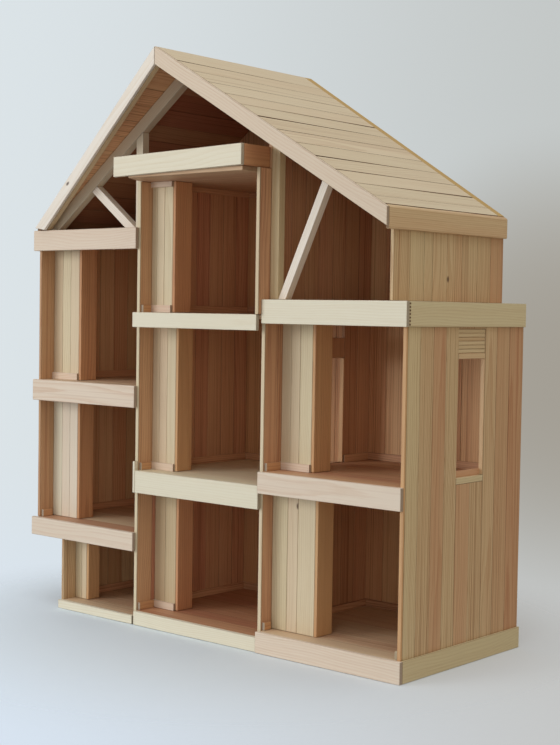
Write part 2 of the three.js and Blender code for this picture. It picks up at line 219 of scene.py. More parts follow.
# %% A mesh from arrays
def build_mesh(name, points, normals, quads, caps, layers):
    """A closed mesh from points, four-sided faces, many-sided ends, normals and point attributes."""
    mesh = bpy.data.meshes.new(name)
    mesh.vertices.add(points.size // 3)
    mesh.vertices.foreach_set("co", points.astype(np.float32).ravel())
    mesh.loops.add(quads.size + caps.size)
    mesh.loops.foreach_set("vertex_index", np.concatenate([quads.ravel(), caps.ravel()]).astype(np.int32))
    starts = np.concatenate([np.arange(len(quads)) * 4, quads.size + np.arange(len(caps)) * caps.shape[1]])
    mesh.polygons.add(len(starts))
    mesh.polygons.foreach_set("loop_start", starts.astype(np.int32))
    mesh.update(calc_edges=True)
    mesh.validate()
    mesh.shade_smooth()
    mesh.normals_split_custom_set_from_vertices(normals.reshape(-1, 3).tolist())
    for label, values in layers.items():
        layer = mesh.attributes.new(label, "FLOAT_VECTOR", "POINT")
        layer.data.foreach_set("vector", values.astype(np.float32).ravel())
    return mesh


# %% [markdown]
# Each board gets three numbers of its own: how dark it is, how red it is, and where in the log it
# was cut. The cut is an offset of the grain coordinates. Boards whose offset is near the heart of
# the log show wide arches, and the others show straight lines.

# %% From boards to a finished piece
PIECES = []
ALONG_LOG, ACROSS_LOG, FROM_HEART = (2, 40), 0.10, (0.012, 0.05)  # metres, where a board was cut
KNOT_DEPTH = 0.02
UNEVEN, DARKEST = 0.05, 1.2  # scatter of a board's tone, and its limit


def make_piece(name, boards, finish, stands_for=(), tones=None, reds=None, radius=0.7 * MM,
               rings=6, knots=None, dark_sides=0.0):
    """Builds one mesh from boards, gives it its attributes and finish, and hands it to the frame.

    `tones` and `reds` are shared out over the boards in turn. `knots` places a knot, along and
    across, on a board by its number. `dark_sides` darkens the narrow faces: painted shade, for the dark
    inside a gaping joint.
    """
    rng = np.random.default_rng(zlib.crc32(name.encode()))
    corners = right_handed(np.asarray(boards, float))
    count = len(corners)
    points, normals, true, joint = board_surface(corners, radius, rings, rng)
    offset = np.stack([rng.uniform(*ALONG_LOG, count), rng.uniform(-1, 1, count) * ACROSS_LOG,
                       rng.uniform(*FROM_HEART, count)], axis=-1)
    for board, (x, y) in (knots or {}).items():  # the log's one knot is at the zero of its coordinates
        offset[board] = (-x, -y, KNOT_DEPTH)
    tone = rng.uniform(0, 1, count) if tones is None else np.resize(tones, count)
    red = rng.uniform(0, 1, count) if reds is None else np.resize(reds, count)
    tone = np.clip(tone + rng.normal(0, UNEVEN, count), 0, DARKEST)
    joint[:, 1:-1] *= rng.uniform(0.45, 1.35, count)[:, None, None]  # some joints are darker, with more dust and more painted seam shade
    # painted shade: dark_sides darkens the narrow faces, for the dark inside an open joint
    joint = np.maximum(joint, dark_sides * SECTION[2][:, 0] ** 2)
    marks = np.stack([np.broadcast_to(tone[:, None, None], joint.shape),
                      np.broadcast_to(red[:, None, None], joint.shape), joint], axis=-1)
    layers = {"grain": true + offset[:, None, None, :], "board": marks}
    mesh = build_mesh(name, points, normals, *board_faces(count, rings), layers)
    mesh.materials.append(finish)
    piece = bpy.data.objects.new(name, mesh)
    bpy.context.scene.collection.objects.link(piece)
    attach(piece, "root")
    if stands_for:
        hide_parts(*stands_for)
    PIECES.append(piece)
    print(f"{name}: boards {count}, points {len(mesh.vertices)}")


# %% [markdown]
# Boards could be placed one by one by hand. It is shorter and safer to say how they lie: along one
# axis, side by side across another, between two faces. A limit may be a number or a function, so
# the same helper cuts boards square, on the slope of the roof or at a slant.

# %% Ways to lay out boards
X, Y, Z = 0, 1, 2
SLIT = 0.12 * MM  # what is left between two strips


def lay(axes, seams, start, end, faces, slit=SLIT):
    """Strips side by side: `axes` are the along, across and through axes, `seams` the joints, and
    `start` and `end` are a number or a function of the place across."""
    along, across, through = axes
    seams = np.asarray(seams, float)
    pair = np.stack([seams[:-1] + slit / 2, seams[1:] - slit / 2], axis=1)
    corners = np.zeros((len(pair), 2, 2, 2, 3))
    corners[..., across] = pair[:, None, :, None]
    for end_number, limit in ((0, start), (1, end)):
        value = limit(pair) if callable(limit) else np.full(pair.shape, float(limit))
        corners[:, end_number, :, :, along] = value[:, :, None]
    for side, face in enumerate(faces):
        corners[:, :, :, side, through] = face(pair)[:, None, :] if callable(face) else face
    return corners


def single(low, high, along, across):
    """One straight board between two corners of a box."""
    through = 3 - along - across
    return lay((along, across, through), [low[across], high[across]], low[along], high[along],
               (low[through], high[through]), slit=0)


def node_board(node, along, across):
    """One board as big as a CAD node's box."""
    low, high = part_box(node)
    return single(low, high, along, across)


NARROWEST = 2 * MM


def joints(low, high, *inner):
    """Joint places in metres from a low end, inner places in millimetres and a high end."""
    return [low, *[v * MM for v in inner if low + NARROWEST < v * MM < high - NARROWEST], high]


def even_joints(low, high, width=30.5):
    """Equal strips, about `width` millimetres each."""
    return list(np.linspace(low, high, max(2, round((high - low) / (width * MM)) + 1)))


print("a wall 274 mm deep takes", len(even_joints(0, 274 * MM)) - 1, "strips")

# %% [markdown]
# ## Pine, as shader maths
# Colour, roughness and bump all come from the same few patterns. Writing the nodes as Python
# expressions keeps them readable: a small class wraps a socket, and + - * / add Math nodes.

# %% A socket that can be calculated with
class Flow:
    """The output of a shader node. Arithmetic on it adds Math nodes."""

    def __init__(self, tree, socket):
        self.tree, self.socket = tree, socket

    def node(self, kind, settings=None, values=None, out=0):
        """Adds any node: settings first, then values or links of its sockets."""
        new = self.tree.nodes.new(kind)
        for key, value in (settings or {}).items():
            setattr(new, key, value)
        for key, value in (values or {}).items():
            if isinstance(value, Flow):
                self.tree.links.new(value.socket, new.inputs[key])
            else:
                new.inputs[key].default_value = value
        return Flow(self.tree, new.outputs[out])

    def maths(self, operation, *others):
        """A Math node with this value first."""
        return self.node("ShaderNodeMath", {"operation": operation},
                         dict(enumerate((self, *others))))

    def __add__(self, other):
        return self.maths("ADD", other)

    def __radd__(self, other):
        return self.maths("ADD", other)

    def __mul__(self, other):
        return self.maths("MULTIPLY", other)

    def __rmul__(self, other):
        return self.maths("MULTIPLY", other)

    def __sub__(self, other):
        return self.maths("SUBTRACT", other)

    def __rsub__(self, other):
        return self.node("ShaderNodeMath", {"operation": "SUBTRACT"}, {0: other, 1: self})

    def __truediv__(self, other):
        return self.maths("DIVIDE", other)

    def __pow__(self, other):
        return self.maths("POWER", other)

    def clamp(self):
        """Keeps a value between 0 and 1."""
        return self.node("ShaderNodeClamp", None, {0: self})

    def step(self, low, high):
        """0 below low, 1 above high, smooth between."""
        return self.node("ShaderNodeMapRange", {"interpolation_type": "SMOOTHSTEP"},
                         {0: self, 1: low, 2: high})

    def colour_mix(self, first, second):
        """Mixes two colours by this value."""
        return self.node("ShaderNodeMix", {"data_type": "RGBA"}, {0: self, 6: first, 7: second}, out=2)

    def dot(self, direction):
        """How far this vector reaches in a direction."""
        return self.node("ShaderNodeVectorMath", {"operation": "DOT_PRODUCT"}, {0: self, 1: direction},
                         out=1)


def srgb(red, green, blue):
    """A screen colour, 0 to 255, as the linear colour that a shader works with."""
    c = np.array([red, green, blue]) / 255
    linear = np.where(c <= 0.04045, c / 12.92, ((c + 0.055) / 1.055) ** 2.4)
    return (*linear.tolist(), 1.0)


print("mid grey, 128, is", round(srgb(128, 128, 128)[0], 3), "in linear light")

# %% [markdown]
# A trunk is a stack of rings round its heart. The distance from the heart, bent by slow noise,
# divided by the ring width, gives a saw that climbs slowly through pale spring wood and drops after
# the thin dark summer line. Long thin noise makes the fibres, and wide noise makes the soft bands
# of colour. Away from a joint the wood is clean. The joints and rounded edges darken, partly as dust
# and partly as painted shade in the seams, and the end grain is darker.

# %% The pine finish
TONE_DEPTH, ROUGH = 0.55, 0.55
# the brown of the joints and board ends stands for dust and for painted shade in the seams
STREAK_BROWN, KNOT_BROWN, DUST_AND_SHADE_BROWN = srgb(132, 84, 50), srgb(72, 38, 22), srgb(92, 62, 38)


def pine(name, spring, summer, ring_width=3.2, ring_depth=0.55, fibre=0.35, blotch=0.5, dirt_and_shade=0.55,
         streak=0.35):
    """A finish: `spring` and `summer` are the (plain, reddish) colours of pale and dark wood."""
    spring, summer = ([srgb(*colour) for colour in pair] for pair in (spring, summer))
    material = bpy.data.materials.new(name)
    material.use_nodes = True
    tree = material.node_tree
    shader = tree.nodes["Principled BSDF"]
    start = Flow(tree, None)

    def three(attribute):
        """The three numbers of a piece's attribute."""
        whole = start.node("ShaderNodeAttribute", {"attribute_name": attribute}, out=1)
        split = start.node("ShaderNodeSeparateXYZ", None, {0: whole})
        return (Flow(tree, split.socket.node.outputs[i]) for i in range(3))

    along, across, through = three("grain")
    tone, red, joint = three("board")

    def stretched(x, y, z, detail=2.0):
        """Noise with so many waves to the metre along, across and through the board."""
        place = start.node("ShaderNodeCombineXYZ", None, {0: along * x, 1: across * y, 2: through * z})
        return start.node("ShaderNodeTexNoise", {"noise_dimensions": "3D"},
                          {"Vector": place, "Scale": 1.0, "Detail": detail})

    slow = stretched(5, 14, 14, 1.0)
    # A knot: the lines swell round one spot of the log and turn dark in it.
    knot = ((along * along) * 0.35 + across * across) ** 0.5
    near_knot = 1 - knot.step(0.001, 0.0034)
    swell = 1 - knot.step(0.0, 0.022)
    # The rings, a saw of the distance from the bent heart.
    heart = (across + (slow - 0.5) * 0.030 + swell * 0.006)
    distance = (heart * heart + through * through) ** 0.5 + along * 0.010
    fine = stretched(30, 900, 900)
    saw = (distance / (ring_width * MM) + (fine - 0.5) * 0.35).maths("FRACT")
    ring = saw ** 2.2 * (1 - saw.step(0.9, 1.0))
    wide = stretched(3, 60, 60)
    strong = stretched(1.2, 9, 9, 1.0)
    # A few long dark streaks run with the grain, more of them in some boards than in others.
    streaks = stretched(1.6, 430, 430, 3.0).step(0.5, 0.74) * (strong * 2 - 0.35).clamp()
    lines = (ring * (strong * 1.6).clamp() * ring_depth + (fine - 0.5) * fibre
             + (wide - 0.5) * blotch * 0.6 + streaks * streak).clamp()

    # The colours, from the clean wood to the darker joints: dust, and painted shade in the seams.
    reddish = (red + (wide - 0.5) * 0.9 * blotch + (strong - 0.5) * 0.4).clamp()
    pale = reddish.colour_mix(*spring)
    strong_line = reddish.colour_mix(*summer)
    wood = lines.colour_mix(pale, strong_line)
    shaded = (tone * TONE_DEPTH).clamp().colour_mix(wood, strong_line)
    streaky = (streaks * streak).clamp().colour_mix(shaded, STREAK_BROWN)
    knotted = (near_knot * 0.85).colour_mix(streaky, KNOT_BROWN)
    # joints and board ends darken: dust, dark end grain and painted shade in the seams
    dust_and_shade = (joint * joint * dirt_and_shade).clamp().colour_mix(knotted, DUST_AND_SHADE_BROWN)
    tree.links.new(dust_and_shade.socket, shader.inputs["Base Color"])

    # Summer wood is harder and shines more, and stands a little proud.
    roughness = (ROUGH + (fine - 0.5) * 0.25 - ring * 0.08 + joint * 0.1).clamp()
    tree.links.new(roughness.socket, shader.inputs["Roughness"])
    height = ring * 0.5 + fine * 0.6 + wide * 0.4
    bump = height.node("ShaderNodeBump", None, {"Strength": 0.35, "Distance": 0.35 * MM, "Height": height})
    tree.links.new(bump.socket, shader.inputs["Normal"])
    shader.inputs["Specular IOR Level"].default_value = 0.35
    return material


# %% [markdown]
# The real house is all bare pine, but its boards come from different planks. Each finish below is
# the same wood in another mood: pale and plain for the facings, pinker for some, redder and darker
# inside the rooms as painted shade and painted bounce light from board to board, and streaky outside.

# %% Finishes
pale_board = pine("pale_board", ((236, 230, 208), (232, 218, 198)),
                  ((212, 194, 154), (212, 182, 150)), ring_depth=0.4, fibre=0.22, blotch=0.3,
                  streak=0.06)
pink_board = pine("pink_board", ((232, 221, 202), (232, 214, 194)),
                  ((208, 176, 142), (208, 168, 138)), ring_depth=0.55, fibre=0.25, blotch=0.35,
                  streak=0.12)
gable_board = pine("gable_board", ((246, 238, 226), (244, 230, 214)),
                   ((222, 198, 162), (220, 188, 156)), ring_depth=0.5, fibre=0.25, blotch=0.35,
                   streak=0.1)
band_board = pine("band_board", ((224, 212, 174), (226, 200, 160)),
                  ((190, 166, 116), (196, 150, 106)), ring_depth=0.5, fibre=0.3, blotch=0.4,
                  streak=0.15)
outer_strip = pine("outer_strip", ((226, 208, 166), (226, 190, 150)),
                   ((176, 134, 88), (182, 120, 82)), ring_width=2.6, ring_depth=0.8, fibre=0.4,
                   blotch=0.6, dirt_and_shade=0.75, streak=0.5)
# room_strip is the pine made redder and darker as painted shade and painted bounce light inside the rooms
room_strip = pine("room_strip", ((220, 180, 138), (216, 160, 126)),
                  ((170, 112, 78), (160, 90, 68)), ring_depth=0.65, fibre=0.4, blotch=0.7,
                  dirt_and_shade=0.8, streak=0.5)
turn_board = pine("turn_board", ((218, 178, 128), (212, 156, 114)),
                  ((174, 122, 80), (160, 92, 64)), ring_depth=0.6, fibre=0.35, blotch=0.6,
                  dirt_and_shade=0.3, streak=0.2)
nib_strip = pine("nib_strip", ((228, 216, 184), (226, 206, 176)),
                 ((190, 166, 118), (192, 156, 118)), ring_depth=0.45, fibre=0.3, blotch=0.35,
                 dirt_and_shade=0.45, streak=0.12)
floor_strip = pine("floor_strip", ((226, 204, 170), (222, 184, 150)),
                   ((178, 134, 94), (166, 108, 78)), ring_depth=0.7, fibre=0.4, blotch=0.6)
roof_strip = pine("roof_strip", ((226, 214, 186), (224, 204, 174)),
                  ((194, 168, 128), (192, 154, 120)), ring_depth=0.5, fibre=0.35, blotch=0.4,
                  streak=0.25, dirt_and_shade=0.75)
verge_board = pine("verge_board", ((218, 190, 128), (214, 176, 118)),
                   ((186, 148, 84), (180, 134, 78)), ring_depth=0.5, fibre=0.4, blotch=0.5)
attic_strip = pine("attic_strip", ((240, 204, 154), (236, 188, 142)),
                   ((196, 136, 88), (186, 110, 74)), ring_depth=0.65, fibre=0.4, blotch=0.7,
                   dirt_and_shade=0.8, streak=0.5)
peg_wood = pine("peg_wood", ((104, 68, 42), (96, 58, 38)), ((70, 42, 28), (66, 36, 26)))
print("finishes:", len(bpy.data.materials))

# %% [markdown]
# ## Boards over the front edges
# Each storey's edge is hidden by one board, glued on with its grain running level. They could share
# one long mesh, but each is its own piece, because each is its own board. The canopy's front board
# has sunk a little at its left end.

# %% Facings and side bands
SAG = 4.5 * MM
PALE, PINK, BAND = (pale_board, "facing_wood"), (pink_board, "facing_wood"), (band_board, "facing_wood")
FACINGS = {
    "left_ground_facing": (PALE, X), "left_first_facing": (PINK, X),
    "left_second_facing": (PINK, X), "left_attic_facing": (PINK, X),
    "middle_ground_facing": (PALE, X), "middle_first_facing": (PALE, X),
    "middle_second_facing": (PALE, X), "canopy_front": (PALE, X),
    "right_ground_facing": (PINK, X), "right_first_facing": (PINK, X),
    "right_attic_facing": (PALE, X),
    "right_ground_side_band": (BAND, Y), "right_attic_side_band": (BAND, Y),
    "left_eave_board": (PINK, Y),
}
for node, ((finish, slot), along) in FACINGS.items():
    board = node_board(node, along, Z)
    if node == "canopy_front":  # it sags at its left end
        board[:, 0, ..., Z] -= SAG
    if node == "right_attic_side_band":  # the comb joint's ends stand proud of it
        board[..., X] = np.minimum(board[..., X], board[..., X].max() - GAP)
    make_piece(f"{node}_board", board, finish, [node], tones=[0.45 if "ground_side" in node else 0.1],
               reds=[0.7 if finish is pink_board else 0.1], radius=0.9 * MM, rings=10)

for node in ("canopy_left_side", "canopy_right_side"):
    board = node_board(node, Y, Z)
    if node == "canopy_left_side":
        board[..., Z] = np.minimum(board[..., Z], board[..., Z].max() - SAG - 1 * MM)
    make_piece(f"{node}_board", board, turn_board, [node], tones=[0.8], reds=[0.6])

# %% [markdown]
# Where the right attic's two boards meet, their ends are cut into a comb, and its dark end grain
# shows as a row of small marks. Seven small pegs in the corner give the marks their real shape.

# %% Comb joint at the corner of the right attic's boards
PEG_DEPTH, PEG_WIDTH, PEG_HEIGHT, PEG_COUNT = 2 * MM, 2.2 * MM, 2.3 * MM, 7
lo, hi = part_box("right_attic_side_band")
rows = np.linspace(lo.z + 3 * MM, hi.z - 3 * MM, PEG_COUNT)
peg_start = lo.y + 0.4 * MM
pegs = np.concatenate([single((hi.x - PEG_DEPTH, peg_start, z - PEG_HEIGHT / 2),
                              (hi.x, peg_start + PEG_WIDTH, z + PEG_HEIGHT / 2), X, Z) for z in rows])
make_piece("right_attic_comb_joint", pegs, peg_wood, radius=0.4 * MM, rings=3)

# %% [markdown]
# ## Walls of upright strips
# The outer walls are strips glued edge to edge. They could be one slab with painted lines, but real
# joints catch the light, so each strip is a board. A wall is laid out by its joints. Where it has an
# opening, the strips there stop below it and start again above it.

# %% Outer walls
def wall_strips(node, *parts):
    """Upright strips of a wall that faces left and right.

    Each part has its joints, and its foot and head where they aren't the wall's own.
    """
    lo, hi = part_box(node)
    strips = []
    for seams, *ends in parts:
        foot, head = ends or (lo.z, hi.z)
        strips.append(lay((Z, Y, X), seams, foot, head, (lo.x, hi.x)))
    return np.concatenate(strips)


lo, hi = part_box("right_lower_wall")
WINDOW = {"front": 8.49 * MM, "back": 70.49 * MM, "bottom": 233 * MM, "top": 430 * MM}
FRONT_STRIP = 3.4 * MM
before = joints(lo.y + FRONT_STRIP + 0.1 * MM, WINDOW["front"], -74.6, -46.5, -18.5)
after = joints(WINDOW["back"], hi.y, 98, 129.5)
beside = joints(WINDOW["front"], WINDOW["back"], 40.5)
over = joints(WINDOW["front"], WINDOW["back"])
make_piece(
    "right_lower_wall_strips",
    wall_strips("right_lower_wall", (before,), (after,), (beside, lo.z, WINDOW["bottom"]),
                (over, WINDOW["top"], hi.z)),
    outer_strip, ["right_lower_wall"],
    tones=[0.15, 0.4, 0.7, 0.25, 0.45, 0.6, 0.9, 0.6, 0.3, 0.5],
    reds=[0.05, 0.3, 0.8, 0.2, 0.5, 0.6, 0.85, 0.8, 0.3, 0.4], rings=12,
)
wall_edge = single((lo.x, lo.y, lo.z), (hi.x, lo.y + FRONT_STRIP, hi.z), Z, X)
make_piece("right_lower_wall_front_edge", wall_edge, turn_board, tones=[0.0],
           reds=[0.2], rings=12)
lo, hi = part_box("right_upper_wall")
make_piece(
    "right_upper_wall_strips",
    wall_strips("right_upper_wall", (joints(lo.y, hi.y, -52.3, -22, -3.1, 29.2, 64, 99.6, 132.2),)),
    outer_strip, ["right_upper_wall"], tones=[0.4, 0.15, 0.25, 0.3, 0.35, 0.35, 0.55, 0.8],
    reds=[0.1, 0.0, 0.0, 0.25, 0.3, 0.2, 0.2, 0.7], rings=10, knots={4: (29 * MM, 31.8 * MM)},
)
for node in ("left_lower_wall", "left_upper_wall"):
    lo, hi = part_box(node)
    make_piece(f"{node}_strips", wall_strips(node, (even_joints(lo.y, hi.y),)), outer_strip, [node],
               rings=10)

# %% [markdown]
# The window has no frame and no pane. Over it the wall is filled with six narrow level slats and a
# lintel strip, and a sill strip lies on the cut ends of the strips below. One dark strip lines its
# far side. All of them are boards again, so the same helper makes them.

# %% Window pieces
SLAT_INSET, SILL_HEIGHT, REVEAL, REVEAL_TOP = 0.8 * MM, 8 * MM, 1.6 * MM, 392 * MM
SILL_INSIDE = 1 * MM  # how far the sill and the lining stand into the room
lo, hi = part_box("window_head_panel")
slats = np.linspace(lo.z, hi.z, 7)
make_piece("window_head_slats", lay((Y, Z, X), slats, lo.y, hi.y, (lo.x + SLAT_INSET, hi.x - SLAT_INSET)),
           band_board, ["window_head_panel"], tones=[0.2, 0.6, 0.3, 0.7, 0.3, 0.5], reds=[0.6])
make_piece("window_lintel_board", node_board("window_lintel", Y, Z), band_board, ["window_lintel"],
           tones=[0.3], reds=[0.9])
wall_low, wall_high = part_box("right_lower_wall")
inside = wall_low.x - SILL_INSIDE
sill_top = WINDOW["bottom"] + SILL_HEIGHT
sill = single((inside, WINDOW["front"] + 0.2 * MM, WINDOW["bottom"]),
              (wall_high.x, WINDOW["back"] - 0.2 * MM, sill_top), Y, Z)
make_piece("window_sill_board", sill, band_board, tones=[0.1], reds=[0.2])
reveal = single((inside, WINDOW["back"] - REVEAL, sill_top + 0.2 * MM),
                (wall_high.x - GAP, WINDOW["back"], REVEAL_TOP), Z, Y)
make_piece("window_reveal_board", reveal, band_board, tones=[1.0], reds=[0.9])

# %% [markdown]
# ## Walls between the bays
# These are strips as well. Their front edges catch the light, and each gets a thin pale strip in
# front of its first board as painted light on that edge. The lower right one has a doorway with a
# small square opening over it.

# %% Left partition
EDGE = 1.5 * MM
lo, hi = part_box("left_partition")


def make_front_edge(node, tone, red, head=None):
    """The front edge of a partition: a thin pale strip in front of its first board, painted light on the
    edge.
    """
    lo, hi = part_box(node)
    edge = single((lo.x, lo.y, lo.z), (hi.x, lo.y + EDGE - 0.05 * MM, head or hi.z), Z, X)
    make_piece(f"{node}_front_edge", edge, nib_strip, tones=[tone], reds=[red], rings=12)


make_piece("left_partition_strips", wall_strips("left_partition", (even_joints(lo.y + EDGE, hi.y, 28),)),
           room_strip, ["left_partition"], rings=14)
make_front_edge("left_partition", 0.1, 0.2)

# %% Right partitions
lo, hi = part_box("right_lower_partition")
DOOR = {"front": -0.51 * MM, "back": 66.49 * MM, "foot": 239.1 * MM, "head": 384.8 * MM}
HATCH = {"front": 7.49 * MM, "back": 65.49 * MM, "foot": 412.8 * MM, "head": 430.8 * MM}
beside_hatch, over_door = [DOOR["front"], HATCH["front"]], [HATCH["front"], DOOR["back"]]
make_piece(
    "right_lower_partition_strips",
    wall_strips("right_lower_partition",
                (even_joints(lo.y + EDGE, DOOR["front"], 28),),
                (even_joints(DOOR["back"], hi.y, 30),),
                (even_joints(DOOR["front"], DOOR["back"], 33), lo.z, DOOR["foot"]),
                (beside_hatch, DOOR["head"], hi.z),
                (over_door, DOOR["head"], HATCH["foot"]),
                (over_door, HATCH["head"], hi.z)),
    room_strip, ["right_lower_partition"], tones=[0.45, 0.7, 0.35], reds=[0.4, 0.2, 0.5],
    rings=12,
)
make_front_edge("right_lower_partition", 0.0, 0.5)
lo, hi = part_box("right_upper_partition")
TRUSS = (-93.51 * MM, -81.51 * MM)  # front and back of the roof's truss
RAFTER = 17.5 * MM
RIGHT_FALL = 220.6 / 349.4  # how far the right roof drops for each unit sideways
ceiling_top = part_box("middle_ceiling")[1].z
canopy_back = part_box("canopy_right_side")[1].y + GAP
truss_back = TRUSS[1] + GAP
under_rafter = hi.z - GAP - RAFTER * np.hypot(1, RIGHT_FALL)
make_piece(
    "right_upper_partition_strips",
    wall_strips("right_upper_partition",
                ([lo.y + EDGE, canopy_back], lo.z, ceiling_top),
                ([canopy_back, truss_back], lo.z, under_rafter),
                (even_joints(truss_back, hi.y),)),
    room_strip, ["right_upper_partition"], tones=[0.4, 0.2, 0.3, 0.6], reds=[0.2, 0.1, 0.5],
    rings=12,
)
make_front_edge("right_upper_partition", 0.6, 0.5, ceiling_top)

# %% [markdown]
# ## Back panels
# Their strips run up under the roof. A boolean cut could trim them, but a function for the top does
# it without a modifier: each strip is cut on the slope. One joint stands under the ridge, where the
# slope changes.

# %% Back panels
RIDGE = -34.8 * MM
left_low, left_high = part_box("left_back_panel")
mid_low, mid_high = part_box("middle_back_panel")
right_low, right_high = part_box("right_back_panel")
left_rise = (mid_high.z - left_high.z) / (RIDGE - left_high.x)
right_fall = (mid_high.z - right_high.z) / (right_low.x - RIDGE)


def under_roof(x):
    """Height under the roof: the ridge height less the slope times the distance from the ridge."""
    return mid_high.z - np.where(x < RIDGE, left_rise * (RIDGE - x), right_fall * (x - RIDGE))


def panel_strips(node, *parts):
    """Upright strips of a back panel. Each part has its joints, its foot and its top."""
    lo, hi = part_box(node)
    return np.concatenate([lay((Z, X, Y), *part, (lo.y, hi.y)) for part in parts])


lower_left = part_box("left_ground_floor")[0].x
jetty_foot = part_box("left_upper_wall")[0].z
upper_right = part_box("right_upper_wall")[0].x - GAP
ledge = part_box("right_attic_floor")[0].z - GAP
attic_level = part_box("right_attic_floor")[1].z
left_strips = panel_strips("left_back_panel",
                           (even_joints(left_low.x, lower_left, 28), jetty_foot, under_roof),
                           (even_joints(lower_left, left_high.x, 25), left_low.z, under_roof))
middle_strips = panel_strips("middle_back_panel",
                             (even_joints(mid_low.x, RIDGE), mid_low.z, under_roof),
                             (even_joints(RIDGE, mid_high.x), mid_low.z, under_roof))
right_strips = panel_strips("right_back_panel",
                            (even_joints(right_low.x, upper_right), right_low.z, attic_level),
                            ([upper_right, right_high.x], right_low.z, ledge))
attic_strips = panel_strips("right_back_panel",
                            (even_joints(right_low.x, upper_right, 27), attic_level + 0.1 * MM,
                             under_roof))
for bay, strips in (("left", left_strips), ("middle", middle_strips)):
    make_piece(f"{bay}_back_strips", strips, attic_strip, [f"{bay}_back_panel"], rings=14)
make_piece("right_back_strips", right_strips, attic_strip, ["right_back_panel"],
           tones=[0.4, 0.2, 0.3, 0.1], reds=[0.7, 0.4, 0.5, 0.0], rings=14)
make_piece("right_attic_back_strips", attic_strips, attic_strip,
           tones=[0.0, 0.25, 0.1], reds=[0.5, 0.9, 0.7], rings=10)
print("under the roof the strips climb", round(left_rise, 3), "and then fall", round(right_fall, 3))

# %% [markdown]
# ## Floors
# Their strips run from side to side. The floors that cap an outer wall have a tab that reaches to
# the wall's back edge. The ceiling under the canopy is cut at a slant at its left end.

# %% Floors
def floor_strips(node, seams, left=None, right=None):
    lo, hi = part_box(node)
    return lay((X, Y, Z), seams, lo.x if left is None else left, hi.x if right is None else right,
               (lo.z, hi.z))


BACK_OF_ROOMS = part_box("left_ground_floor")[1].y
# painted shade and light: the lower middle floor and the right first floor take the darker room finish, the
# lower middle floor and the canopy ceiling darker tones as painted shade, and the middle first floor the
# pale finish and lightest tone as painted light
FLOOR_FINISH = {"middle_ground_floor": room_strip, "right_first_floor": room_strip,
                "middle_first_floor": nib_strip}
DARK_FLOORS = {"middle_ground_floor": [0.8, 0.9, 0.7], "right_first_floor": [0.3, 0.5, 0.4],
               "middle_ceiling": [0.7, 0.9], "middle_first_floor": [0.0]}
ceiling_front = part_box("canopy_front")[1].y + 0.2 * MM
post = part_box("left_partition")[0]


def ceiling_left(y):
    """The ceiling's left end: 24 mm in at the front, a straight slant, none from the partition on."""
    return post.x + 24 * MM * np.clip((post.y - y) / (post.y - ceiling_front), 0, 1)


for node in ("left_ground_floor", "left_second_floor", "middle_ground_floor", "middle_first_floor",
             "middle_second_floor", "right_ground_floor", "right_first_floor", "middle_ceiling"):
    lo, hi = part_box(node)
    near, left = (ceiling_front, ceiling_left) if node == "middle_ceiling" else (lo.y, None)
    finish = FLOOR_FINISH.get(node, floor_strip)
    make_piece(f"{node}_strips", floor_strips(node, even_joints(near, hi.y, 32), left), finish, [node],
               tones=DARK_FLOORS.get(node, [0.1, 0.3]), reds=[0.3, 0.6, 0.4], rings=8)

# %% Floors with a tab
tabs = {
    "left_first_floor": (None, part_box("left_lower_wall")[1].x),
    "left_attic_floor": (None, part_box("left_upper_wall")[1].x),
    "right_attic_floor": (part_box("right_upper_wall")[0].x, None),
}
for node, (left, right) in tabs.items():
    lo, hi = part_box(node)
    main = floor_strips(node, even_joints(lo.y, BACK_OF_ROOMS, 32))
    tab = floor_strips(node, [BACK_OF_ROOMS, hi.y], left, right)
    make_piece(f"{node}_strips", np.concatenate([main, tab]), floor_strip, [node], rings=8)

# %% [markdown]
# ## Return walls
# Each room has a short wall that faces the front, made of two or three strips, and turns the corner
# with one wide board. The faces get the most light, so their finish is the paler one: painted light.
# The corner board's browner finish is painted shade, and the first strip's darker tone is painted
# shade where the wall on its left casts its shadow.

# %% Return walls
NIB = 5 * MM  # thickness of the part that faces the front
TURN_RED = {"middle_second": 0.8, "left_second": 0.7, "left_first": 0.6, "middle_ground": 0.9}
# where the joints lie, as shares of the wall's width
RETURN_JOINTS = {
    "left_ground": (0.55,), "left_first": (0.36, 0.68), "left_second": (0.34, 0.66),
    "middle_ground": (0.5,), "middle_first": (0.3, 0.63), "middle_second": (0.24, 0.6),
    "right_ground": (0.36, 0.6), "right_first": (0.3, 0.6),
}
for room, shares in RETURN_JOINTS.items():
    lo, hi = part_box(f"{room}_return_wall")
    face_end = hi.x - NIB
    seams = [lo.x, *[lo.x + share * (face_end - lo.x) for share in shares], face_end]
    front = lay((Z, X, Y), seams, lo.z, hi.z, (lo.y, lo.y + NIB))
    turn = single((face_end + SLIT, lo.y, lo.z), (hi.x, hi.y, hi.z), Z, Y)
    # painted shade: the first strip, beside the wall on its left, gets the darkest tone
    tones = [0.45, 0.15, 0.25][: len(shares) + 1] if room != "middle_ground" else [1.1, 0.9]
    knots = {1: (167 * MM, 17 * MM)} if room == "right_ground" else None
    # the paler face finish is painted light on the faces that meet the light
    finish = pale_board if room == "left_first" else nib_strip
    make_piece(f"{room}_return_strips", front, finish, [f"{room}_return_wall"],
               tones=tones, rings=12, knots=knots)
    # the corner board's browner turn finish is painted shade on the side that turns from the light
    make_piece(f"{room}_return_end", turn, turn_board, tones=[0.2],
               reds=[TURN_RED.get(room, 0.3)], rings=12)

# %% [markdown]
# ## Roof
# The roof's strips run from front to back. Seen from above, the front leans out to the ridge, so
# each strip is cut at a slant. The slopes and the leaning front are written as functions of the
# place sideways, and everything in the roof takes its size from them.

